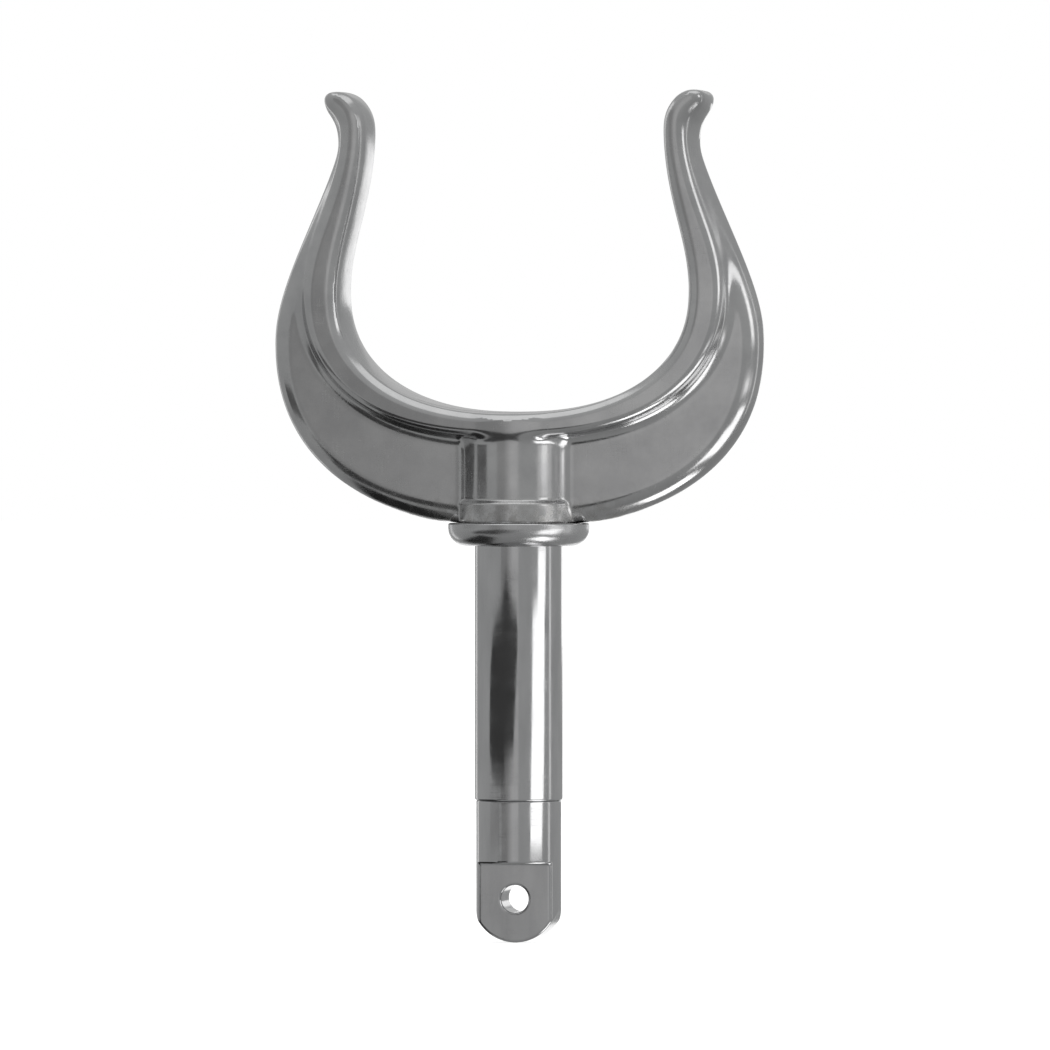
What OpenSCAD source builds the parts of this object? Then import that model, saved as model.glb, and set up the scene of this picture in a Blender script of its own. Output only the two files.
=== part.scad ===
// Round-shank rowlock: an open horn on a collar and a plain journal that turns in a boat's socket.
// +Z runs up the journal to the horn. Z = 0 is the underside of the collar, which rests on the socket.
// X is across the horn, and Y runs fore and aft through its bowl.

/* [Journal] */
// Diameter of the journal that turns in the socket
journal_d = 12.7; // [12.5:0.1:12.9]
// Length of the journal below the collar
journal_l = 36.7; // [30:0.1:45]

/* [Eye end] */
// Diameter of the round neck of the eye end, a little under the journal
eye_d = 12.3; // [12:0.1:12.4]
// Length of the round neck above the flats
neck_l = 9.05; // [6:0.05:12]
// Thickness across the flats
eye_t = 6; // [5:0.1:7]
// Length of the flats, from their shoulder to the rounded end
eye_l = 11.4; // [10:0.1:13]
// Diameter of the cross hole
eye_hole_d = 4; // [3:0.1:5]

/* [Collar] */
// Outside diameter of the collar
collar_d = 20.4; // [20:0.1:22]
// Thickness of the collar
collar_t = 3.3; // [3:0.1:4]
// Radius of the collar's lower corner
collar_round = 2.6; // [1:0.1:2.6]

/* [Horn] */
// Inside width of the bowl at its widest
bowl_w = 51; // [50:0.1:52]
// Height of the bowl's bottom above the collar's underside
bowl_z = 19.3; // [19:0.1:20]
// Height from the bowl's bottom to its widest level
bowl_h = 17.2; // [16:0.1:18]
// Gap between the arms, just under the flared tips
tip_gap = 43.6; // [43:0.1:45]
// Height at which the tips start to flare
flare_z = 60.3; // [60:0.1:62]
// Overall width of the horn
horn_w = 72; // [71:0.1:73]
// Diameter of the vertical boss
boss_d = 15.6; // [15:0.1:16]

/* [Hidden] */
$fn = 96;

// Inner line of the horn: a superellipse bowl, a curved arm and a flared tip
bowl_power = 2.3;
bowl_top_z = bowl_z + bowl_h;
arm_lower_z = bowl_top_z + 7.5;
arm_upper_z = flare_z - 10.5;
flare_r = 6;
flare_deg = 54;
tip_cap = 2.9;

// Outer line of the web: a superellipse under the bowl, a curve up the arm and the back of the tip
outer_z = 29.6;
outer_drop = 27;
outer_power = 2.3;
arm_back = [[horn_w / 2, outer_z], [horn_w / 2, 37], [30.5, 46], [26.4, 57]];
tip_back = [[26.4, 57], [26.1, 59.6], [27.2, 62], [29.2, 64.3]];

// The horn's section at stations 0, 0.5, 1 and so on up to 3, from the bowl's bottom to the tip
rim_thick = [2.7, 4.4, 5.5, 3.9, 3.0, 2.8, 2.8];
rim_half = [8.2, 6.8, 5.1, 4.7, 4.6, 4.6, 4.4];
rim_corner = [1.4, 1.4, 1.5, 1.6, 1.8, 2.0, 2.0];
web_half = [3.0, 3.0, 3.0, 3.2, 4.0, 4.5, 4.4];
station = 0.5;
fillet_r = 2.2;
least_rise = 1;
least_step = 0.6;

// Steps along the horn and round its section
bowl_steps = 16;
arm_steps = 10;
flare_steps = 4;
outer_steps = 24;
cap_angles = [30, 55, 75];
corner_angles = [0, 45, 90];

// Foot ring at the base of the boss
foot_d = 17;
foot_h = 3.1;
foot_round = 0.5;

// Spigots that join the pieces, and the clearance round each one
spigot_d = 9;
spigot_l = 12;
eye_spigot_d = 7;
eye_spigot_l = 10;
fit_gap = 0.02;
bore_spare = 0.5;

// The collar's seat on the bar, over a 45 degree cone at the journal's top
seat_d = 11;
cone_h = (journal_d - seat_d) / 2;

// Small chamfer on the turned edges
edge = 0.25;

steel = [0.78, 0.79, 0.80];

// Value at station s of a smooth curve through the evenly spaced values v, level at station 0
function smooth_value(v, s) =
    let (
        last = len(v) - 1,
        i = min(floor(s / station), last - 1),
        t = s / station - i,
        a = v[abs(i - 1)],
        b = v[i],
        c = v[i + 1],
        d = v[min(i + 2, last)]
    )
    b + t / 2 * (c - a + t * (2 * a - 5 * b + 4 * c - d + t * (3 * b - a - 3 * c + d)));

// Point at share t of the Bezier curve with control points c
function bezier(c, t) =
    len(c) == 1 ? c[0] : bezier([for (i = [0:len(c) - 2]) c[i] * (1 - t) + c[i + 1] * t], t);

function bowl_point(t) = [
    bowl_w / 2 * pow(sin(90 * t), 2 / bowl_power),
    bowl_top_z - bowl_h * pow(cos(90 * t), 2 / bowl_power)
];

function arm_point(t) = bezier([
    [bowl_w / 2, bowl_top_z],
    [bowl_w / 2, arm_lower_z],
    [tip_gap / 2, arm_upper_z],
    [tip_gap / 2, flare_z]
], t);

function flare_point(t) = [
    tip_gap / 2 + flare_r * (1 - cos(flare_deg * t)),
    flare_z + flare_r * sin(flare_deg * t)
];

// Inner line in X and Z at station s: 0 to 1 is the bowl, 1 to 2 the arm and 2 to 3 the flare
function inner_point(s) =
    s < 1 ? bowl_point(s) : s < 2 ? arm_point(s - 1) : flare_point(s - 2);

function along(s) =
    let (d = inner_point(min(s + 0.01, 3)) - inner_point(max(s - 0.01, 0)))
    s == 0 ? [1, 0] : d / norm(d);

function outward(s) = [along(s)[1], -along(s)[0]];

function under_point(t) = [
    horn_w / 2 * pow(sin(90 * t), 2 / outer_power),
    outer_z - outer_drop * pow(cos(90 * t), 2 / outer_power)
];

outer_line = concat(
    [for (i = [0:outer_steps]) under_point(i / outer_steps)],
    [for (i = [1:outer_steps]) bezier(arm_back, i / outer_steps)],
    [for (i = [1:outer_steps]) bezier(tip_back, i / outer_steps)]
);

function cross_2d(a, b) = a[0] * b[1] - a[1] * b[0];

// Distances from point p along direction n to the outer line
function hits(p, n) = [
    for (i = [0:len(outer_line) - 2])
        let (
            a = outer_line[i] - p,
            d = outer_line[i + 1] - outer_line[i],
            k = cross_2d(n, d),
            share = cross_2d(a, n) / k
        )
        if (share >= 0 && share <= 1 && cross_2d(a, d) / k > 0) cross_2d(a, d) / k
];

// Distance at station s from the inner line to the outer edge, straight outwards
function reach(s) = s == 0 ? bowl_z - outer_z + outer_drop : min(hits(inner_point(s), outward(s)));

// Points of a quarter ellipse about [n, y] with half axes dn and dy, from angle to angle as given
function quarter(n, y, dn, dy, angles) = [for (a = angles) [n + dn * cos(a), y + dy * sin(a)]];

// Half of the T section at station s. Each point is its distance out from the inner line and
// its distance from the middle plane.
function half_section(s) =
    let (
        total = reach(s),
        t = min(smooth_value(rim_thick, s), total - least_rise),
        h = smooth_value(rim_half, s),
        w = min(smooth_value(web_half, s), h - least_step),
        r = smooth_value(rim_corner, s),
        back_n = min(r, 0.9 * (t - r)),
        back_y = min(r, 0.45 * (h - w)),
        rise = total - t,
        fill_n = min(fillet_r, 0.3 * rise),
        fill_y = min(fillet_r, 0.45 * (h - w)),
        round_n = min(w, 0.6 * rise)
    )
    concat(
        quarter(r, h - r, r, r, [for (a = corner_angles) 180 - a]),
        quarter(t - back_n, h - back_y, back_n, back_y, [for (a = corner_angles) 90 - a]),
        quarter(t + fill_n, w + fill_y, fill_n, fill_y, [for (a = corner_angles) 180 + a]),
        quarter(total - round_n, 0, round_n, w, [90, 65, 40, 20])
    );

// Whole section: the front half, the outer edge's middle, and the back half in mirror image
function section(s) =
    let (half = half_section(s), last = len(half) - 1)
    concat(
        half,
        [[reach(s), 0]],
        [for (i = [last:-1:0]) [half[i][0], -half[i][1]]]
    );

// Centre of the section at station s, on the side given by sign, moved on by angle cap round the tip
function centre(s, sign, cap) =
    let (p = inner_point(s) + outward(s) * reach(s) / 2 + along(s) * tip_cap * sin(cap))
    [sign * p[0], 0, p[1]];

// One ring of points round that centre, drawn in by the same angle
function ring(s, sign, cap) =
    let (c = centre(s, sign, cap), middle = reach(s) / 2, n = outward(s))
    [for (q = section(s))
        let (m = (q[0] - middle) * cos(cap))
        c + [sign * n[0] * m, q[1] * cos(cap), n[1] * m]];

stations = concat(
    [for (i = [1:bowl_steps]) i / bowl_steps],
    [for (i = [1:arm_steps]) 1 + i / arm_steps],
    [for (i = [1:flare_steps]) 2 + i / flare_steps]
);

module rim_and_web() {
    side = concat([for (s = stations) [s, 0]], [for (a = cap_angles) [3, a]]);
    last = len(side) - 1;
    rings = concat(
        [for (i = [last:-1:0]) ring(side[i][0], -1, side[i][1])],
        [ring(0, 1, 0)],
        [for (k = side) ring(k[0], 1, k[1])]
    );
    n = len(rings[0]);
    m = len(rings);
    polyhedron(
        points = concat([for (r = rings) each r], [centre(3, -1, 90), centre(3, 1, 90)]),
        faces = concat(
            [for (j = [0:n - 1]) [m * n, (j + 1) % n, j]],
            [for (i = [0:m - 2], j = [0:n - 1]) each [
                [i * n + j, (i + 1) * n + (j + 1) % n, (i + 1) * n + j],
                [i * n + j, i * n + (j + 1) % n, (i + 1) * n + (j + 1) % n]
            ]],
            [for (j = [0:n - 1]) [m * n + 1, (m - 1) * n + j, (m - 1) * n + (j + 1) % n]]
        )
    );
}

module boss() {
    translate([0, 0, collar_t])
        cylinder(h = bowl_z - rim_thick[0] / 2 - collar_t, d = boss_d);
    translate([0, 0, collar_t])
        cylinder(h = foot_h - foot_round, d = foot_d);
    translate([0, 0, collar_t + foot_h - foot_round])
        cylinder(h = foot_round, d1 = foot_d, d2 = foot_d - 2 * foot_round);
}

// Casting: the rim that the oar lies in, the web under it, the boss and the two tips
module horn() {
    color(steel)
        difference() {
            union() {
                rim_and_web();
                boss();
            }
            translate([0, 0, -outer_drop])
                cylinder(h = outer_drop + collar_t, d = horn_w);
            translate([0, 0, collar_t - 1])
                cylinder(h = spigot_l + bore_spare + 1, d = spigot_d + fit_gap);
        }
}

// Turned ring that is brazed on the bar under the boss, and rests on the socket
module collar() {
    r = collar_d / 2;
    bore_r = (seat_d + fit_gap) / 2;
    corner = [
        for (a = [-90:10:0])
            [r - collar_round + collar_round * cos(a), collar_round * (1 + sin(a))]
    ];
    color(steel)
        rotate_extrude()
            polygon(concat(
                [[bore_r, cone_h], [bore_r + cone_h, 0]],
                corner,
                [[r, collar_t - edge], [r - edge, collar_t], [bore_r, collar_t]]
            ));
}

// Turned bar: the journal, a cone and a seat for the collar, the spigot up into the boss, and a bore
// for the eye end
module shank() {
    color(steel)
        difference() {
            union() {
                translate([0, 0, edge - journal_l])
                    cylinder(h = journal_l - edge, d = journal_d);
                translate([0, 0, -journal_l])
                    cylinder(h = edge, d1 = journal_d - 2 * edge, d2 = journal_d);
                cylinder(h = cone_h, d1 = journal_d, d2 = seat_d);
                cylinder(h = collar_t, d = seat_d);
                cylinder(h = collar_t + spigot_l - edge, d = spigot_d);
                translate([0, 0, collar_t + spigot_l - edge])
                    cylinder(h = edge, d1 = spigot_d, d2 = spigot_d - 2 * edge);
            }
            translate([0, 0, -journal_l - 1])
                cylinder(h = eye_spigot_l + bore_spare + 1, d = eye_spigot_d + fit_gap);
        }
}

// Turned and milled end piece: a spigot up into the journal, a round neck and an eye between two flats
module eye_end() {
    end_r = eye_d / 2 + 0.15;
    shoulder_z = -journal_l - neck_l;
    end_z = shoulder_z - eye_l;
    hole_z = end_z + end_r;
    color(steel)
        difference() {
            union() {
                translate([0, 0, shoulder_z])
                    cylinder(h = neck_l, d = eye_d);
                translate([0, 0, -journal_l])
                    cylinder(h = eye_spigot_l, d = eye_spigot_d);
                intersection() {
                    translate([0, 0, end_z])
                        cylinder(h = eye_l, d = eye_d);
                    translate([-eye_d, -eye_t / 2, end_z])
                        cube([2 * eye_d, eye_t, eye_l]);
                    union() {
                        translate([0, 0, hole_z])
                            rotate([90, 0, 0])
                                cylinder(h = 2 * eye_d, r = end_r, center = true);
                        translate([-eye_d, -eye_d, hole_z])
                            cube([2 * eye_d, 2 * eye_d, eye_l]);
                    }
                }
            }
            translate([0, 0, hole_z])
                rotate([90, 0, 0])
                    cylinder(h = 2 * eye_d, d = eye_hole_d, center = true);
        }
}

horn();
collar();
shank();
eye_end();
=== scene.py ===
import math

import bpy
import numpy as np
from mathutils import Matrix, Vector


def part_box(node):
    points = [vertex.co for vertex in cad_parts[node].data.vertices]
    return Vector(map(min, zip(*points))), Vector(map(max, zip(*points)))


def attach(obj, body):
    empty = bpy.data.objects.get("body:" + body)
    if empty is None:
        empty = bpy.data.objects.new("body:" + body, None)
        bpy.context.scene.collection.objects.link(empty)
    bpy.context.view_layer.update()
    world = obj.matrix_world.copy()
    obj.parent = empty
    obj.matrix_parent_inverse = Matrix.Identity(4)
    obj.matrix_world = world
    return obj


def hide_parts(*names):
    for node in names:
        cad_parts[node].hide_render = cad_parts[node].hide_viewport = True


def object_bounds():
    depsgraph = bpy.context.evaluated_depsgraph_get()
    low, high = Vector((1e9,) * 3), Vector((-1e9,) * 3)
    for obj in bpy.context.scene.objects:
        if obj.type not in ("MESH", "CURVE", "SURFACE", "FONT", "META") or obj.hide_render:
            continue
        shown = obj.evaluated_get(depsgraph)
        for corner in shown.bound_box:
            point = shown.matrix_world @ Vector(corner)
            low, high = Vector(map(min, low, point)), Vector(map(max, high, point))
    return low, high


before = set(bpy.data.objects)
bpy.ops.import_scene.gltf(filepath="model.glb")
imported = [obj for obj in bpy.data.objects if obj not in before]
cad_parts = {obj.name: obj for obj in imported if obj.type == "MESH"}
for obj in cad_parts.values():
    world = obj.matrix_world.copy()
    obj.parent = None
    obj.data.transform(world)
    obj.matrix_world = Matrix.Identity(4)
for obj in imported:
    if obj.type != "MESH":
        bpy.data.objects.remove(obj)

# Lengths are in millimetres until a mesh, light or camera is made, which MM turns into metres.
MM = 0.001
CAD_LOW, CAD_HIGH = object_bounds()


def box_mm(node):
    low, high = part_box(node)
    return np.array(low) / MM, np.array(high) / MM


HORN_LOW, HORN_HIGH = box_mm("horn")
COLLAR_LOW, COLLAR_HIGH = box_mm("collar")
SHANK_LOW, SHANK_HIGH = box_mm("shank")
EYE_LOW, EYE_HIGH = box_mm("eye_end")

# ---------------------------------------------------------------- the horn's outlines

SEAT_Z = HORN_LOW[2]
HORN_W = 72.0
BOWL_W = 51.0
BOWL_Z = 19.3
BOWL_H = 17.2
BOWL_TOP_Z = BOWL_Z + BOWL_H
BOWL_POWER = 2.3
TIP_GAP = 43.6
FLARE_Z = 60.3
FLARE_R = 6.0
FLARE_DEG = 54.0
TIP_CAP = 2.9
TIP_ROUND = 1.8
# The tips' tops are cut level, just inside the CAD's box
TIP_TOP_Z = HORN_HIGH[2] - 0.02
TIP_TOP_ROUND = 1.2
OUTER_Z = 29.6
OUTER_DROP = 27.0
OUTER_POWER = 2.3
ARM_INNER = [(BOWL_W / 2, BOWL_TOP_Z), (BOWL_W / 2, BOWL_TOP_Z + 7.5),
             (TIP_GAP / 2, FLARE_Z - 10.5), (TIP_GAP / 2, FLARE_Z)]
ARM_BACK = [(HORN_W / 2, OUTER_Z), (HORN_W / 2, 37.0), (30.5, 46.0), (26.4, 57.0)]
TIP_BACK = [(26.4, 57.0), (26.1, 59.6), (27.2, 62.0), (29.2, 64.3)]

# Each line is sampled, spaced evenly and smoothed. It goes on straight past the tip, and mirrored past
# the middle plane. A grid of rough answers speeds up the search for its nearest point.
LINE_SAMPLES = 1500
LINE_STEP = 0.05
LINE_SMOOTH = 1.0
EXTRA_L = 6.0
EXTRA_SAMPLES = 200
MIRRORED_W = 12
COARSE = 12
SEARCH_ROUNDS = 4
LEAST_RATE = 0.3
GUESS_STEP = 0.4
GUESS_X = np.arange(-2, 40, GUESS_STEP)
GUESS_Z = np.arange(-2, 70, GUESS_STEP)

# The section at stations 0, 0.5, 1 and so on up to 3, from the bowl's bottom to the tip
STATION = 0.5
RIM_THICK = [2.7, 4.4, 5.5, 3.9, 3.0, 2.8, 2.8]
RIM_HALF = [8.2, 6.8, 5.1, 4.7, 4.6, 4.6, 4.4]
RIM_CORNER = [1.3, 1.5, 1.7, 1.7, 1.5, 1.4, 1.4]
WEB_HALF = [3.0, 3.0, 3.0, 3.2, 4.0, 4.5, 4.4]
CROWN = 0.45
WEB_FILLET = 2.4
BOSS_R = 7.8
BOSS_TOP_Z = BOWL_Z - 1.4
BOSS_FILLET = 1.4
FOOT_R = 8.45
FOOT_TOP_Z = SEAT_Z + 3.1
FOOT_ROUND = 0.55
FOOT_FILLET = 0.5
SEAT_ROUND = 0.3
# Just outside the foot ring the web's lower edge meets the seat at a shallow angle, and is rounder
WEDGE_L = 1.5
WEDGE_ROUND = 0.3
BORE_R = 4.51
BORE_TOP_Z = SEAT_Z + 12.5
BORE_ROUND = 0.3


def bezier(points, t):
    a, b, c, d = (np.array(p) for p in points)
    t = t[:, None]
    return a * (1 - t) ** 3 + 3 * b * t * (1 - t) ** 2 + 3 * c * t**2 * (1 - t) + d * t**3


def bowl(t):
    angle = np.pi / 2 * t
    x = BOWL_W / 2 * np.sin(angle) ** (2 / BOWL_POWER)
    z = BOWL_TOP_Z - BOWL_H * np.abs(np.cos(angle)) ** (2 / BOWL_POWER)
    return np.stack([x, z], 1)


def flare(t):
    angle = np.radians(FLARE_DEG) * t
    x = TIP_GAP / 2 + FLARE_R * (1 - np.cos(angle))
    z = FLARE_Z + FLARE_R * np.sin(angle)
    return np.stack([x, z], 1)


def under_web(t):
    angle = np.pi / 2 * t
    x = HORN_W / 2 * np.sin(angle) ** (2 / OUTER_POWER)
    z = OUTER_Z - OUTER_DROP * np.abs(np.cos(angle)) ** (2 / OUTER_POWER)
    return np.stack([x, z], 1)


class Line:
    """A smooth line in X and Z that points are measured from."""

    def __init__(self, pieces):
        t = np.linspace(0, 1, LINE_SAMPLES)
        points = np.concatenate([piece(t)[:-1] for piece in pieces])
        stations = np.concatenate([i + t[:-1] for i in range(len(pieces))])
        end = points[-1] - points[-2]
        ahead = np.linspace(LINE_STEP, EXTRA_L, EXTRA_SAMPLES)[:, None]
        extra = points[-1] + end / np.linalg.norm(end) * ahead
        points = np.concatenate([points, extra])
        stations = np.concatenate([stations, np.full(len(extra), float(len(pieces)))])
        lead = points[:, 0] < MIRRORED_W
        lead[len(lead) // 2:] = False
        lead[0] = False
        mirrored = points[lead][::-1] * [-1, 1]
        points = np.concatenate([mirrored, points])
        stations = np.concatenate([-stations[lead][::-1], stations])
        run = np.concatenate([[0], np.cumsum(np.linalg.norm(np.diff(points, axis=0), axis=1))])
        even = np.arange(0, run[-1], LINE_STEP)
        p = np.stack([np.interp(even, run, points[:, i]) for i in range(2)], 1)
        self.stations = np.interp(even, run, stations)
        half = int(3 * LINE_SMOOTH / LINE_STEP)
        weights = np.exp(-0.5 * (np.arange(-half, half + 1) * LINE_STEP / LINE_SMOOTH) ** 2)
        weights /= weights.sum()
        self.points = np.stack([np.convolve(p[:, i], weights, "valid") for i in range(2)], 1)
        self.stations = np.convolve(self.stations, weights, "valid")
        self.tangents = np.gradient(self.points, LINE_STEP, axis=0)
        self.tangents /= np.linalg.norm(self.tangents, axis=1)[:, None]
        turn = np.gradient(self.tangents, LINE_STEP, axis=0)
        self.bend = turn[:, 0] * self.tangents[:, 1] - turn[:, 1] * self.tangents[:, 0]
        columns = [np.stack([np.full(len(GUESS_Z), x), GUESS_Z], 1) for x in GUESS_X]
        self.guess = np.array([self.nearest(column) for column in columns])

    def at(self, values, u):
        """Values along the line, read between its points at the places u."""
        i = np.clip(u.astype(int), 0, len(values) - 2)
        share = u - i
        if values.ndim == 2:
            share = share[:, None]
        return values[i] * (1 - share) + values[i + 1] * share

    def nearest(self, p):
        """Rough place on the line nearest to each of the points p, from every COARSE-th point of it."""
        coarse = np.arange(0, len(self.points), COARSE)
        gap = ((p[:, None, :] - self.points[None, coarse, :]) ** 2).sum(2)
        return coarse[gap.argmin(1)].astype(float)

    def measure(self, x, z):
        """Station of the line's nearest point, and distance from it, positive outwards from the bowl."""
        x, z = np.broadcast_arrays(x, z)
        p = np.stack([x.ravel(), z.ravel()], 1)
        cell = np.rint((p - [GUESS_X[0], GUESS_Z[0]]) / GUESS_STEP).astype(int)
        cell = np.clip(cell, 0, [len(GUESS_X) - 1, len(GUESS_Z) - 1])
        u = self.guess[cell[:, 0], cell[:, 1]]
        last = len(self.points) - 1.001
        for _ in range(SEARCH_ROUNDS):
            away = p - self.at(self.points, u)
            tangent = self.at(self.tangents, u)
            out = away[:, 0] * tangent[:, 1] - away[:, 1] * tangent[:, 0]
            ahead = (away * tangent).sum(1)
            rate = np.maximum(1 - out * self.at(self.bend, u), LEAST_RATE)
            u = np.clip(u + ahead / rate / LINE_STEP, 0, last)
        away = p - self.at(self.points, u)
        tangent = self.at(self.tangents, u)
        out = away[:, 0] * tangent[:, 1] - away[:, 1] * tangent[:, 0]
        return self.at(self.stations, u).reshape(x.shape), out.reshape(x.shape)


INNER = Line([bowl, lambda t: bezier(ARM_INNER, t), flare])
OUTER = Line([under_web, lambda t: bezier(ARM_BACK, t), lambda t: bezier(TIP_BACK, t)])
TIP_END = flare(np.array([1.0]))[0]
TIP_AIM = np.array([math.sin(math.radians(FLARE_DEG)), math.cos(math.radians(FLARE_DEG))])


def blend_values(values, s):
    """Smooth curve (a uniform cubic B-spline) along values that lie STATION apart."""
    v = np.array([values[1], *values, values[-1], values[-1]])
    u = np.clip(s / STATION, 0, len(values) - 1 - 1e-6)
    i = u.astype(int)
    t = u - i
    near = (3 * t**3 - 6 * t**2 + 4) * v[i + 1] + (-3 * t**3 + 3 * t**2 + 3 * t + 1) * v[i + 2]
    return ((1 - t) ** 3 * v[i] + near + t**3 * v[i + 3]) / 6


# ---------------------------------------------------------------- solids as distance fields


def smooth_min(a, b, k):
    """Union with a fillet of about radius k."""
    h = np.maximum(k - np.abs(a - b), 0) / k
    return np.minimum(a, b) - h * h * k / 4


def smooth_max(a, b, k):
    """Intersection with an edge rounded to about radius k."""
    return -smooth_min(-a, -b, k)


def rounded_box(u, v, half_u, half_v, r):
    """Distance from a rectangle about zero with corners of radius r."""
    qu = np.abs(u) - (half_u - r)
    qv = np.abs(v) - (half_v - r)
    return np.hypot(np.maximum(qu, 0), np.maximum(qv, 0)) + np.minimum(np.maximum(qu, qv), 0) - r


def horn_field(x, y, z):
    """The casting: rim and web along the horn's lines, boss, foot ring and the bore for the bar."""
    x = np.abs(x)
    y = np.abs(y)
    station, n = INNER.measure(x, z)
    inside = -OUTER.measure(x, z)[1]
    s = np.clip(station, 0, 3)
    thick = blend_values(RIM_THICK, s)
    half = blend_values(RIM_HALF, s)
    web_half = blend_values(WEB_HALF, s)
    crowned = n - CROWN * (y / half) ** 2
    rim = rounded_box(crowned - thick / 2, y, thick / 2, half, blend_values(RIM_CORNER, s))
    web = np.hypot(np.maximum(web_half - inside, 0), y) - web_half
    web = np.maximum(web, thick / 2 - n)
    body = smooth_min(rim, web, WEB_FILLET)
    beyond = (x - TIP_END[0]) * TIP_AIM[0] + (z - TIP_END[1]) * TIP_AIM[1] - TIP_CAP
    body = smooth_max(body, beyond, TIP_ROUND)
    body = smooth_max(body, z - TIP_TOP_Z, TIP_TOP_ROUND)
    rho = np.hypot(x, y)
    boss = np.maximum(rho - BOSS_R, z - BOSS_TOP_Z)
    body = smooth_min(body, boss, BOSS_FILLET)
    foot = rounded_box(rho, z - SEAT_Z, FOOT_R, FOOT_TOP_Z - SEAT_Z, FOOT_ROUND)
    body = smooth_min(body, foot, FOOT_FILLET)
    wedge = np.clip(rho - FOOT_R, 0, WEDGE_L) / WEDGE_L
    body = smooth_max(body, SEAT_Z - z, SEAT_ROUND + WEDGE_ROUND * wedge)
    bore = np.maximum(rho - BORE_R, z - BORE_TOP_Z)
    return smooth_max(body, -bore, BORE_ROUND)


# How settle() moves vertices: part of the way to their neighbours' mean, and back to the surface in
# moves that are limited in steps of the grid
RELAX_ROUNDS = 3
RELAX = 0.5
LONGEST_MOVE = 0.6
LEAST_SLOPE = 0.2
HORN_STEP = 0.3
EYE_STEP = 0.16


def surface_net(field, low, high, step):
    """Quads on the zero surface of a field: one vertex in each grid cell that the surface crosses."""
    axes = [np.arange(a - 2 * step, b + 3 * step, step) for a, b in zip(low, high)]
    f = field(axes[0][:, None, None], axes[1][None, :, None], axes[2][None, None, :])
    origin = np.array([a[0] for a in axes])
    strides = np.array([f.shape[1] * f.shape[2], f.shape[2], 1])
    cells, crossings, quads = [], [], []
    for axis in range(3):
        a = np.moveaxis(f, axis, 0)[:-1]
        b = np.moveaxis(f, axis, 0)[1:]
        a, b = np.moveaxis(a, 0, axis), np.moveaxis(b, 0, axis)
        where = np.argwhere((a < 0) != (b < 0))
        fa, fb = a[tuple(where.T)], b[tuple(where.T)]
        position = where.astype(float)
        position[:, axis] += fa / (fa - fb)
        v, w = (axis + 1) % 3, (axis + 2) % 3
        around = []
        for dv, dw in ((0, 0), (-1, 0), (-1, -1), (0, -1)):
            cell = where.copy()
            cell[:, v] += dv
            cell[:, w] += dw
            around.append(cell @ strides)
            cells.append(cell @ strides)
            crossings.append(position)
        quad = np.stack(around, 1)
        outwards = (fa < 0)[:, None]
        quads.append(np.where(outwards, quad, quad[:, ::-1]))
    ids, index = np.unique(np.concatenate(cells), return_inverse=True)
    index = index.ravel()
    crossings = np.concatenate(crossings)
    count = np.bincount(index)
    p = np.stack([np.bincount(index, crossings[:, i]) / count for i in range(3)], 1)
    quads = np.searchsorted(ids, np.concatenate(quads))
    return p * step + origin, quads


def gradient(field, p, reach=0.01):
    """Slope of a field at the points p."""
    g = np.empty_like(p)
    for i in range(3):
        shift = np.zeros(3)
        shift[i] = reach
        g[:, i] = (field(*(p + shift).T) - field(*(p - shift).T)) / (2 * reach)
    return g


def settle(field, p, quads, step):
    """Evens the quads out along the surface and puts every vertex exactly on it."""
    edges = np.concatenate([quads[:, [0, 1]], quads[:, [1, 2]], quads[:, [2, 3]], quads[:, [3, 0]]])
    edges = np.concatenate([edges, edges[:, ::-1]])
    count = np.bincount(edges[:, 0])[:, None]
    for k in range(RELAX_ROUNDS + 1):
        if k:
            mean = np.stack([np.bincount(edges[:, 0], p[edges[:, 1], i]) for i in range(3)], 1) / count
            p = p + RELAX * (mean - p)
        for _ in range(2 if k < RELAX_ROUNDS else 3):
            g = gradient(field, p)
            move = field(*p.T)[:, None] * g / np.maximum((g * g).sum(1), LEAST_SLOPE)[:, None]
            size = np.linalg.norm(move, axis=1)[:, None]
            p = p - move * np.minimum(1, LONGEST_MOVE * step / np.maximum(size, 1e-9))
    g = gradient(field, p)
    return p, g / np.linalg.norm(g, axis=1)[:, None]


def mesh_piece(name, points, faces, normals):
    """Smooth object from points in millimetres and their normals."""
    mesh = bpy.data.meshes.new(name)
    mesh.from_pydata((points * MM).tolist(), [], faces)
    mesh.polygons.foreach_set("use_smooth", np.ones(len(mesh.polygons), bool))
    mesh.update()
    mesh.normals_split_custom_set_from_vertices(normals.tolist())
    piece = bpy.data.objects.new(name, mesh)
    bpy.context.scene.collection.objects.link(piece)
    return piece


def solid_piece(name, field, low, high, step):
    points, quads = surface_net(field, low, high, step)
    points, normals = settle(field, points, quads, step)
    return mesh_piece(name, points, quads.tolist(), normals)


# ---------------------------------------------------------------- turned pieces

TURN_STEPS = 256
SPIGOT_R = 4.5
JOURNAL_R = SHANK_HIGH[0]
COLLAR_R = COLLAR_HIGH[0]
COLLAR_T = COLLAR_HIGH[2] - COLLAR_LOW[2]
COLLAR_ROUND = 2.6
SEAT_R = 5.5
CONE_H = JOURNAL_R - SEAT_R
FIT_GAP = 0.01
BORE_SPARE = 0.5
EYE_SPIGOT_R = 3.5
EYE_BORE_R = EYE_SPIGOT_R + FIT_GAP


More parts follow.
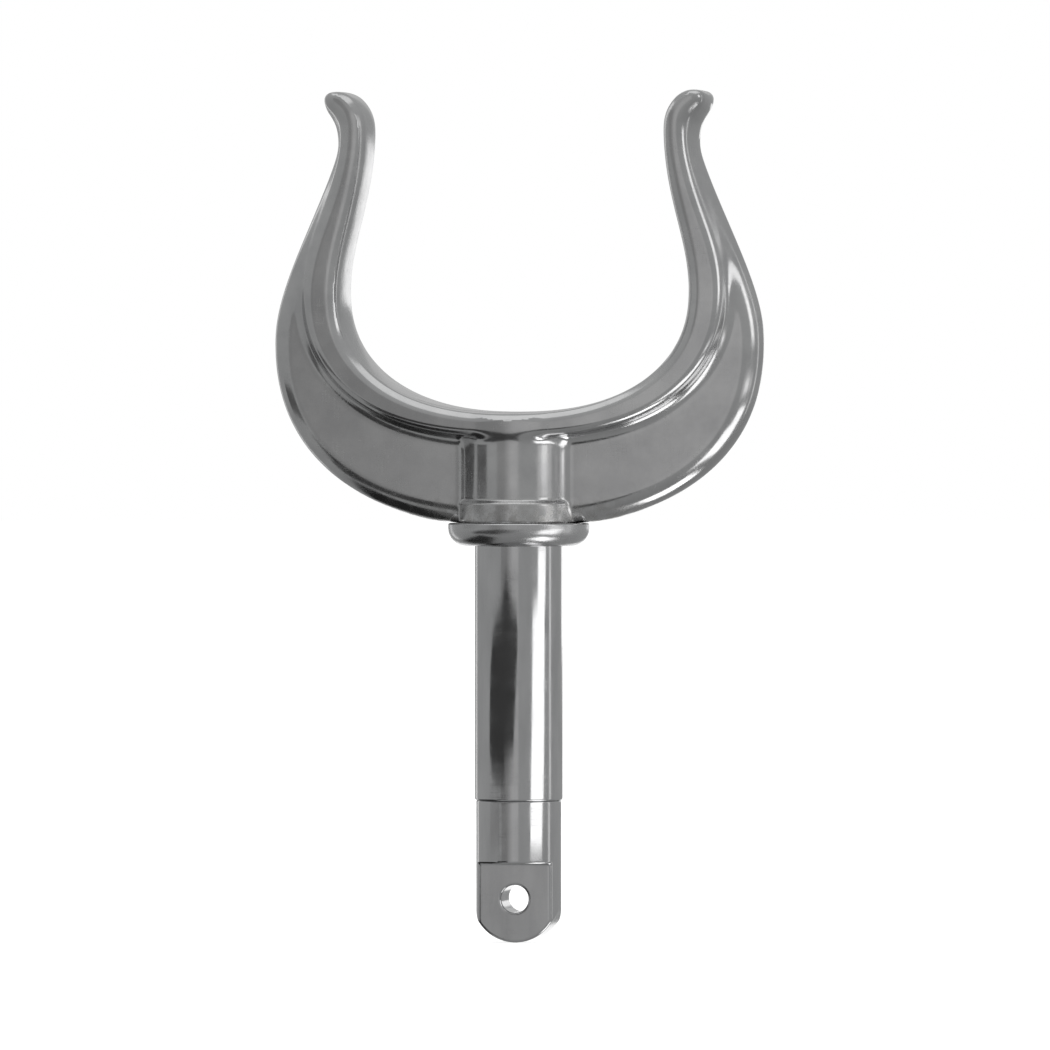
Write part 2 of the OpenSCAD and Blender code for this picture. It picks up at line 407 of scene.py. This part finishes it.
def rounded_profile(corners, arc_steps=8):
    """Points and normals of a closed profile in R and Z. Each corner is (r, z, rounding radius)."""
    points, normals = [], []
    count = len(corners)
    for i in range(count):
        here = np.array(corners[i][:2], float)
        radius = corners[i][2]
        to_last = np.array(corners[i - 1][:2], float) - here
        to_next = np.array(corners[(i + 1) % count][:2], float) - here
        to_last /= np.linalg.norm(to_last)
        to_next /= np.linalg.norm(to_next)
        normal_in = np.array([-to_last[1], to_last[0]])
        normal_out = np.array([to_next[1], -to_next[0]])
        turn = math.acos(np.clip(normal_in @ normal_out, -1, 1))
        if radius == 0:
            points.append(here)
            normals.append(normal_in if abs(normal_in[1]) > 0.5 else normal_out)
            continue
        cross = normal_in[0] * normal_out[1] - normal_in[1] * normal_out[0]
        side = 1 if cross > 0 else -1
        reach = radius * math.tan(turn / 2)
        centre = here + to_last * reach - side * normal_in * radius
        for k in range(arc_steps + 1):
            angle = side * turn * k / arc_steps
            c, s = math.cos(angle), math.sin(angle)
            n = np.array([normal_in[0] * c - normal_in[1] * s, normal_in[0] * s + normal_in[1] * c])
            points.append(centre + side * n * radius)
            normals.append(n)
    return np.array(points), np.array(normals)


def turned_piece(name, corners):
    """Turned piece whose profile runs anticlockwise in R and Z, and is closed by corners on the axis."""
    profile, normals = rounded_profile(corners)
    angle = np.arange(TURN_STEPS) * 2 * np.pi / TURN_STEPS
    points, vertex_normals, rings = [], [], []
    for (r, z), (nr, nz) in zip(profile, normals):
        steps = angle if r > 0 else angle[:1]
        rings.append(len(points) + np.arange(TURN_STEPS) % len(steps))
        points += [(r * math.cos(a), r * math.sin(a), z) for a in steps]
        vertex_normals += [(nr * math.cos(a), nr * math.sin(a), nz) for a in steps]
    faces = []
    for k, ring in enumerate(rings):
        above = rings[(k + 1) % len(rings)]
        for i in range(TURN_STEPS):
            j = (i + 1) % TURN_STEPS
            face = list(dict.fromkeys([int(ring[i]), int(ring[j]), int(above[j]), int(above[i])]))
            if len(face) > 2:
                faces.append(face)
    return mesh_piece(name, np.array(points), faces, np.array(vertex_normals))


# ---------------------------------------------------------------- the eye end

NECK_TOP_Z = SHANK_LOW[2]
NECK_L = 9.05
SHOULDER_Z = NECK_TOP_Z - NECK_L
EYE_R = EYE_HIGH[0]
EYE_HALF_T = 3.0
END_R = EYE_R + 0.15
HOLE_R = 2.0
HOLE_Z = EYE_LOW[2] + END_R
NECK_ROUND = 0.22
END_ROUND = 0.12
SHOULDER_ROUND = 0.3
FLAT_ROUND = 0.4
SPIGOT_ROUND = 0.3
SPIGOT_LOW_Z = NECK_TOP_Z - 2.0


def eye_field(x, y, z):
    """The eye end: a round neck, cut away beside the flats, with a cross hole and a spigot on top."""
    x = np.abs(x)
    y = np.abs(y)
    rho = np.hypot(x, y)
    end = np.hypot(x, np.minimum(z - HOLE_Z, 0)) - END_R
    body = smooth_max(rho - EYE_R, end, END_ROUND)
    body = smooth_max(body, z - NECK_TOP_Z, NECK_ROUND)
    beside_flats = smooth_max(EYE_HALF_T - y, z - SHOULDER_Z, SHOULDER_ROUND)
    body = smooth_max(body, -beside_flats, FLAT_ROUND)
    hole = np.hypot(x, z - HOLE_Z) - HOLE_R
    body = smooth_max(body, -hole, FLAT_ROUND)
    half_l = (EYE_HIGH[2] - SPIGOT_LOW_Z) / 2
    spigot = rounded_box(rho, z - SPIGOT_LOW_Z - half_l, EYE_SPIGOT_R, half_l, SPIGOT_ROUND)
    return np.minimum(body, spigot)


# ---------------------------------------------------------------- the pieces

horn = solid_piece("rowlock_horn", horn_field, HORN_LOW, HORN_HIGH, HORN_STEP)
eye_end = solid_piece("eye_tang", eye_field, EYE_LOW, EYE_HIGH, EYE_STEP)
# Corners of the turned profiles are (r, z, rounding radius)
collar = turned_piece("socket_collar", [
    (SEAT_R + FIT_GAP, CONE_H, 0.05),
    (JOURNAL_R + FIT_GAP, 0, 0.03),
    (COLLAR_R, 0, COLLAR_ROUND),
    (COLLAR_R, COLLAR_T, 0.3),
    (SEAT_R + FIT_GAP, COLLAR_T, 0.1),
])
shank = turned_piece("shank_bar", [
    (EYE_BORE_R, NECK_TOP_Z, 0.2),
    (JOURNAL_R, NECK_TOP_Z, 0.32),
    (JOURNAL_R, 0, 0.1),
    (SEAT_R, CONE_H, 0.1),
    (SEAT_R, COLLAR_T, 0.2),
    (SPIGOT_R, COLLAR_T, 0.1),
    (SPIGOT_R, SHANK_HIGH[2], 0.25),
    (0, SHANK_HIGH[2], 0),
    (0, EYE_HIGH[2] + BORE_SPARE, 0),
    (EYE_BORE_R, EYE_HIGH[2] + BORE_SPARE, 0.1),
])
for piece, cad_node, finish in (
    (horn, "horn", "cast_polished"),
    (collar, "collar", "turned_polished"),
    (shank, "shank", "turned_polished"),
    (eye_end, "eye_end", "turned_polished"),
):
    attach(piece, "root")
    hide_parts(cad_node)


# ---------------------------------------------------------------- materials


def add_node(tree, kind, inputs=None, **settings):
    """Shader node whose inputs are given as sockets to link or as constants."""
    node = tree.nodes.new(kind)
    for key, value in settings.items():
        setattr(node, key, value)
    for key, value in (inputs or {}).items():
        if isinstance(value, bpy.types.NodeSocket):
            tree.links.new(value, node.inputs[key])
        else:
            node.inputs[key].default_value = value
    return node


def noise(tree, vector, scale, detail=2.0, roughness=0.5):
    """Noise from 0 to 1, with the scale in cycles for each millimetre."""
    made = add_node(tree, "ShaderNodeTexNoise",
                    {"Vector": vector, "Scale": scale, "Detail": detail, "Roughness": roughness})
    return made.outputs["Fac"]


def stretched(tree, vector, scale, turn=(0, 0, 0)):
    made = add_node(tree, "ShaderNodeMapping", {"Vector": vector, "Scale": scale, "Rotation": turn})
    return made.outputs["Vector"]


def ramp(tree, value, low, high, to_low, to_high):
    made = add_node(tree, "ShaderNodeMapRange", {
        "Value": value, "From Min": low, "From Max": high, "To Min": to_low, "To Max": to_high})
    return made.outputs["Result"]


def bump(tree, height, depth, normal=None):
    """Bump of the given depth in millimetres."""
    inputs = {"Height": height, "Strength": 1.0, "Distance": depth * MM}
    if normal is not None:
        inputs["Normal"] = normal
    return add_node(tree, "ShaderNodeBump", inputs).outputs["Normal"]


def new_metal(name):
    material = bpy.data.materials.new(name)
    material.use_nodes = True
    tree = material.node_tree
    tree.nodes.clear()
    where = add_node(tree, "ShaderNodeTexCoord").outputs["Object"]
    scaled = add_node(tree, "ShaderNodeVectorMath", {0: where, 3: 1 / MM}, operation="SCALE").outputs[0]
    shader = add_node(tree, "ShaderNodeBsdfPrincipled", {"Metallic": 1.0})
    out = add_node(tree, "ShaderNodeOutputMaterial")
    tree.links.new(shader.outputs[0], out.inputs["Surface"])
    return material, tree, scaled, shader


def mixed(tree, share, a, b):
    """Two colour sockets or constants mixed by share."""
    made = add_node(tree, "ShaderNodeMix", data_type="RGBA")
    for socket, value in ((made.inputs[0], share), (made.inputs[6], a), (made.inputs[7], b)):
        if isinstance(value, bpy.types.NodeSocket):
            tree.links.new(value, socket)
        else:
            socket.default_value = value
    return made.outputs[2]


def times(tree, a, b):
    made = add_node(tree, "ShaderNodeMath", {0: a, 1: b}, operation="MULTIPLY")
    return made.outputs[0]


def plus(tree, a, b):
    made = add_node(tree, "ShaderNodeMath", {0: a, 1: b}, operation="ADD")
    return made.outputs[0]


def height_of(tree, where):
    return add_node(tree, "ShaderNodeSeparateXYZ", {0: where}).outputs["Z"]


def brushed(tree, where, along, turn, scale, depth, normal):
    """Bump of fine lines in one direction."""
    return bump(tree, noise(tree, stretched(tree, where, along, turn), scale, 2), depth, normal)


def scratches(tree, where, along, turn, cover):
    """Sparse fine scratches: 1 on a scratch, 0 elsewhere."""
    lines = noise(tree, stretched(tree, where, along, turn), 2.2, 1, 0.4)
    patches = ramp(tree, noise(tree, where, 0.25, 2), 0.45, 0.65, 0, 1)
    return times(tree, ramp(tree, lines, cover, cover + 0.06, 0, 1), patches)


def cast_steel():
    """Buffed casting: soft waves, orange peel, buffing lines both ways, tarnish and painted shade low on
    the boss.
    """
    material, tree, where, shader = new_metal("buffed_casting")
    clouds = ramp(tree, noise(tree, where, 0.16, 4, 0.6), 0.32, 0.68, 0, 1)
    colour = mixed(tree, clouds, (0.57, 0.57, 0.575, 1), (0.67, 0.67, 0.67, 1))
    # Painted shade with a tarnish tint: brownish patches darken the colour low on the boss, by the foot
    # ring and the seat, where the boss meets the seat
    low = ramp(tree, height_of(tree, where), SEAT_Z + 0.1, FOOT_TOP_Z + 1.2, 1, 0)
    tarnish_and_painted_shade = times(tree, low, ramp(tree, noise(tree, where, 0.8, 4, 0.65), 0.4, 0.62, 0, 1))
    tree.links.new(mixed(tree, times(tree, tarnish_and_painted_shade, 0.45), colour, (0.30, 0.285, 0.26, 1)),
                   shader.inputs["Base Color"])
    marks = scratches(tree, where, (0.12, 4, 4), (0.3, 0.6, 0.2), 0.60)
    marks = plus(tree, marks, scratches(tree, where, (4, 4, 0.12), (0.5, 0.4, 0.1), 0.61))
    rough = ramp(tree, noise(tree, where, 0.4, 4, 0.6), 0.3, 0.7, 0.12, 0.22)
    rough = plus(tree, rough, times(tree, marks, 0.10))
    tree.links.new(plus(tree, rough, times(tree, tarnish_and_painted_shade, 0.18)), shader.inputs["Roughness"])
    normal = bump(tree, noise(tree, where, 0.13, 1), 0.05)
    normal = bump(tree, noise(tree, where, 1.1, 2), 0.002, normal)
    normal = brushed(tree, where, (0.25, 5, 5), (0.2, 0.5, 0.3), 1.6, 0.0009, normal)
    normal = brushed(tree, where, (5, 5, 0.3), (0.4, 0.3, 0.1), 1.4, 0.0009, normal)
    normal = bump(tree, times(tree, marks, -1), 0.0012, normal)
    tree.links.new(normal, shader.inputs["Normal"])
    return material


def turned_steel(name, smooth, rough_most):
    """Turned and polished steel: fine rings round the axis, rubbed bands, light scratches."""
    material, tree, where, shader = new_metal(name)
    clouds = ramp(tree, noise(tree, stretched(tree, where, (1, 1, 0.3)), 0.3, 3), 0.35, 0.65, 0, 1)
    tree.links.new(mixed(tree, clouds, (0.59, 0.59, 0.595, 1), (0.67, 0.67, 0.675, 1)),
                   shader.inputs["Base Color"])
    rings = noise(tree, stretched(tree, where, (0.02, 0.02, 6)), 1.5, 2)
    bands = noise(tree, stretched(tree, where, (0.03, 0.03, 1)), 0.22, 3, 0.6)
    bands = ramp(tree, bands, 0.35, 0.65, 0, 1)
    marks = scratches(tree, where, (0.1, 0.1, 5), (0.05, 0.03, 0), 0.60)
    marks = plus(tree, marks, scratches(tree, where, (5, 5, 0.1), (0.06, 0.1, 0), 0.62))
    rough = ramp(tree, noise(tree, where, 0.35, 4, 0.6), 0.3, 0.7, smooth, rough_most)
    rough = plus(tree, rough, times(tree, bands, 0.035))
    tree.links.new(plus(tree, rough, times(tree, marks, 0.08)), shader.inputs["Roughness"])
    normal = bump(tree, rings, 0.0010)
    normal = brushed(tree, where, (5, 5, 0.15), (0, 0, 0), 1.2, 0.0004, normal)
    normal = bump(tree, noise(tree, where, 0.2, 1), 0.006, normal)
    normal = bump(tree, times(tree, marks, -1), 0.0010, normal)
    tree.links.new(normal, shader.inputs["Normal"])
    return material


CAST = cast_steel()
TURNED = turned_steel("turned_bar", 0.07, 0.15)
RUBBED = turned_steel("rubbed_collar", 0.18, 0.3)
for piece, material in ((horn, CAST), (collar, RUBBED), (shank, TURNED), (eye_end, TURNED)):
    piece.data.materials.clear()
    piece.data.materials.append(material)


# ---------------------------------------------------------------- studio

CAMERA_AZIMUTH = 12.0
CAMERA_ELEVATION = 0.6
FRAME_W = 151.5
AIM_RIGHT = 0.9
AIM_Z = 3.0
CAMERA_DISTANCE = 1500.0
SENSOR = 36.0
CLIP_START = 50.0
CLIP_END = 30000.0
FLOOR_R = 6000.0
FLOOR_SIDES = 96
FLOOR_GAP = 0.1
FLOOR_GLOW = 0.78
ROOM_LOW = 0.26
ROOM_HIGH = 0.46
ROOM_TINT = (0.99, 1, 1, 1)
WHITE = (1, 1, 1, 1)


def emission(name, strength):
    material = bpy.data.materials.new(name)
    material.use_nodes = True
    tree = material.node_tree
    tree.nodes.clear()
    shader = add_node(tree, "ShaderNodeEmission", {"Color": WHITE, "Strength": strength})
    out = add_node(tree, "ShaderNodeOutputMaterial")
    tree.links.new(shader.outputs[0], out.inputs["Surface"])
    return material


def direction(side):
    """Level direction at an angle to the right of the camera, as seen from the object."""
    angle = math.radians(CAMERA_AZIMUTH + side)
    return np.array([math.sin(angle), -math.cos(angle), 0])


def sloped_emission(name, side, from_mm, to_mm, from_strength, to_strength):
    """Emission that changes evenly along the level direction at an angle to the right of the camera."""
    material = emission(name, 1.0)
    tree = material.node_tree
    where = add_node(tree, "ShaderNodeTexCoord").outputs["Object"]
    along = add_node(tree, "ShaderNodeVectorMath", {0: where, 1: tuple(direction(side))},
                     operation="DOT_PRODUCT")
    level = ramp(tree, along.outputs["Value"], from_mm * MM, to_mm * MM, from_strength, to_strength)
    tree.links.new(level, tree.nodes["Emission"].inputs["Strength"])
    return material


def reflection_card(name, rows, faces, material):
    """A card that only reflections see."""
    mesh = bpy.data.meshes.new(name)
    mesh.from_pydata([tuple(np.array(p) * MM) for p in rows], [], faces)
    mesh.materials.append(material)
    made = bpy.data.objects.new(name, mesh)
    bpy.context.scene.collection.objects.link(made)
    made.visible_camera = False
    made.visible_diffuse = False
    made.visible_shadow = False


def flat_card(name, side, tilt, distance, half_width, half_height, centre_z, material):
    """Flat card that faces the point (0, 0, centre_z), at an angle above the level."""
    rise = math.radians(tilt)
    out = direction(side) * math.cos(rise) + np.array([0, 0, math.sin(rise)])
    across = direction(side + 90)
    up = np.cross(out, across)
    up *= np.sign(up[2])
    middle = out * distance + [0, 0, centre_z]
    corners = [middle + a * half_width * across + b * half_height * up
               for a, b in ((-1, -1), (1, -1), (1, 1), (-1, 1))]
    reflection_card(name, corners, [(0, 1, 2, 3)], material)


def bar_card(name, bar_r, distance, edges, material, across=13, between=4):
    """Card on a cylinder round the bar, placed so that its reflection in the bar has the given edges.

    Each edge row is (z, left, right), measured on the bar as the camera sees it.
    """
    sides = []
    for z, left, right in edges:
        leans = [math.asin(offset / bar_r) for offset in (left, right)]
        row = [math.degrees(2 * lean - math.asin(bar_r * math.sin(lean) / distance)) for lean in leans]
        sides.append([z - (distance - bar_r) * math.tan(math.radians(CAMERA_ELEVATION)), *row])
    sides = np.array(sides)
    count = (len(sides) - 1) * between + 1
    at = np.arange(count) / between
    rows = np.stack([np.interp(at, np.arange(len(sides)), sides[:, i]) for i in range(3)], 1)
    points = [direction(left + (right - left) * t) * distance + [0, 0, z]
              for z, left, right in rows for t in np.linspace(0, 1, across)]
    faces = [(a, a + 1, a + across + 1, a + across)
             for k in range(count - 1) for a in range(k * across, (k + 1) * across - 1)]
    reflection_card(name, points, faces, material)


def make_floor():
    """Pale floor that looks plain from the camera and isn't seen in the metal."""
    z = CAD_LOW[2] / MM - FLOOR_GAP
    turns = [2 * math.pi * i / FLOOR_SIDES for i in range(FLOOR_SIDES)]
    ring = [(FLOOR_R * math.cos(a) * MM, FLOOR_R * math.sin(a) * MM, z * MM) for a in turns]
    mesh = bpy.data.meshes.new("floor")
    mesh.from_pydata(ring, [], [list(range(FLOOR_SIDES))])
    material = bpy.data.materials.new("pale_floor")
    material.use_nodes = True
    shader = material.node_tree.nodes["Principled BSDF"]
    shader.inputs["Base Color"].default_value = (0.9, 0.9, 0.9, 1)
    shader.inputs["Roughness"].default_value = 0.9
    shader.inputs["Specular IOR Level"].default_value = 0.0
    shader.inputs["Emission Color"].default_value = WHITE
    shader.inputs["Emission Strength"].default_value = FLOOR_GLOW
    mesh.materials.append(material)
    floor = bpy.data.objects.new("floor", mesh)
    bpy.context.scene.collection.objects.link(floor)
    floor.visible_glossy = False


def make_world():
    """Plain white behind the object, and for its reflections a grey room that is lighter above."""
    world = bpy.data.worlds.new("studio")
    bpy.context.scene.world = world
    world.use_nodes = True
    tree = world.node_tree
    tree.nodes.clear()
    seen = add_node(tree, "ShaderNodeBackground", {"Color": WHITE, "Strength": 1.0})
    toward = add_node(tree, "ShaderNodeTexCoord").outputs["Generated"]
    level = ramp(tree, height_of(tree, toward), -1, 1, ROOM_LOW, ROOM_HIGH)
    lit = add_node(tree, "ShaderNodeBackground", {"Color": ROOM_TINT, "Strength": level})
    camera_ray = add_node(tree, "ShaderNodeLightPath").outputs["Is Camera Ray"]
    mix = add_node(tree, "ShaderNodeMixShader", {0: camera_ray, 1: lit.outputs[0], 2: seen.outputs[0]})
    out = add_node(tree, "ShaderNodeOutputWorld")
    tree.links.new(mix.outputs[0], out.inputs["Surface"])


def make_overhead_light():
    light = bpy.data.lights.new("overhead", "AREA")
    light.shape = "SQUARE"
    light.size = OVERHEAD_SIZE * MM
    light.energy = OVERHEAD_WATTS
    made = bpy.data.objects.new("overhead", light)
    made.location = (0, 0, OVERHEAD_Z * MM)
    bpy.context.scene.collection.objects.link(made)


def make_camera():
    data = bpy.data.cameras.new("camera")
    data.sensor_width = SENSOR
    data.lens = SENSOR * CAMERA_DISTANCE / FRAME_W
    data.clip_start, data.clip_end = CLIP_START * MM, CLIP_END * MM
    camera = bpy.data.objects.new("camera", data)
    bpy.context.scene.collection.objects.link(camera)
    a, e = math.radians(CAMERA_AZIMUTH), math.radians(CAMERA_ELEVATION)
    back = Vector((math.sin(a) * math.cos(e), -math.cos(a) * math.cos(e), math.sin(e)))
    right = Vector((math.cos(a), math.sin(a), 0))
    target = (right * AIM_RIGHT + Vector((0, 0, AIM_Z))) * MM
    camera.location = target + back * CAMERA_DISTANCE * MM
    camera.rotation_euler = (-back).to_track_quat("-Z", "Y").to_euler()
    bpy.context.scene.camera = camera


OVERHEAD_SIZE = 2000.0
OVERHEAD_Z = 1500.0
OVERHEAD_WATTS = 5.5

# Edges of the white strip and of the dark patch on the shank, as (z, left, right)
STRIP = [(0.6, 3.1, 3.9), (-0.3, 2.8, 3.9), (-8.0, 2.75, 3.8), (-10.7, 1.95, 3.7),
         (-13.6, 2.0, 3.7), (-30.9, 1.85, 3.65), (-36.4, 1.75, 3.55), (-46.0, 1.75, 3.45)]
DARK = [(-36.2, -2.9, -1.9), (-34.8, -3.8, -2.1), (-32.7, -4.0, -2.1), (-31.2, -4.2, -0.8),
        (-26.0, -4.2, -0.6), (-19.0, -4.1, -0.3), (-14.0, -3.8, -0.1), (-12.1, -3.5, -0.2),
        (-10.4, -3.0, -0.3), (-8.7, -2.4, -0.9), (-6.9, -2.2, -1.4), (-4.6, -1.9, -1.7)]

# Name, radius of the bar, distance, edges, strength
BAR_CARDS = [
    ("shank_strip", JOURNAL_R, 80, STRIP, 1.75),
    ("shank_dark", JOURNAL_R, 75, DARK, 0.05),
    ("boss_strip", BOSS_R, 85, [(7.5, 2.7, 4.7), (16.5, 2.7, 4.7)], 0.62),
    ("boss_core", BOSS_R, 80, [(9.0, 3.3, 4.1), (15.5, 3.3, 4.1)], 1.15),
    ("boss_dark", BOSS_R, 75, [(6.5, -6.0, -4.6), (17.5, -6.0, -4.6)], 0.1),
    ("neck_dark", EYE_R, 75, [(-45.5, -4.1, -2.8), (-38, -4.1, -2.8)], 0.28),
]

# Name, side and tilt in degrees, distance, half width and height, height of the point faced, strength
FLAT_CARDS = [
    ("side_strip", 90, 0, 600, 34, 300, 20, 0.85),
    ("arm_strip", 55, 16, 600, 90, 150, 20, 1.4),
    ("rear_box", 163, 0, 600, 160, 46, 16, 1.15),
    ("back_low_box", 180, 0, 600, 150, 150, -145, 1.2),
    ("back_high_box", 180, 0, 600, 150, 180, 187, 0.55),
    ("back_strip", 215, 0, 600, 45, 330, 40, 0.9),
    ("low_right_box", 66, -64, 150, 32, 26, 20, 2.4),
    ("low_left_dark", -108, -57, 130, 70, 30, 20, 0.02),
    ("low_front_dark", -45, -28, 260, 60, 45, 20, 0.03),
]

make_floor()
make_world()
make_camera()
for name, bar_r, distance, edges, strength in BAR_CARDS:
    bar_card(name, bar_r, distance, edges, emission(name, strength))
for name, side, tilt, distance, half_width, half_height, centre_z, strength in FLAT_CARDS:
    flat_card(name, side, tilt, distance, half_width, half_height, centre_z, emission(name, strength))
flat_card("web_panel", -24, 0, 260, 110, 90, 20, sloped_emission("web_panel", 66, -35, 35, 0.27, 0.47))
make_overhead_light()
bpy.context.scene.view_settings.view_transform = "Standard"
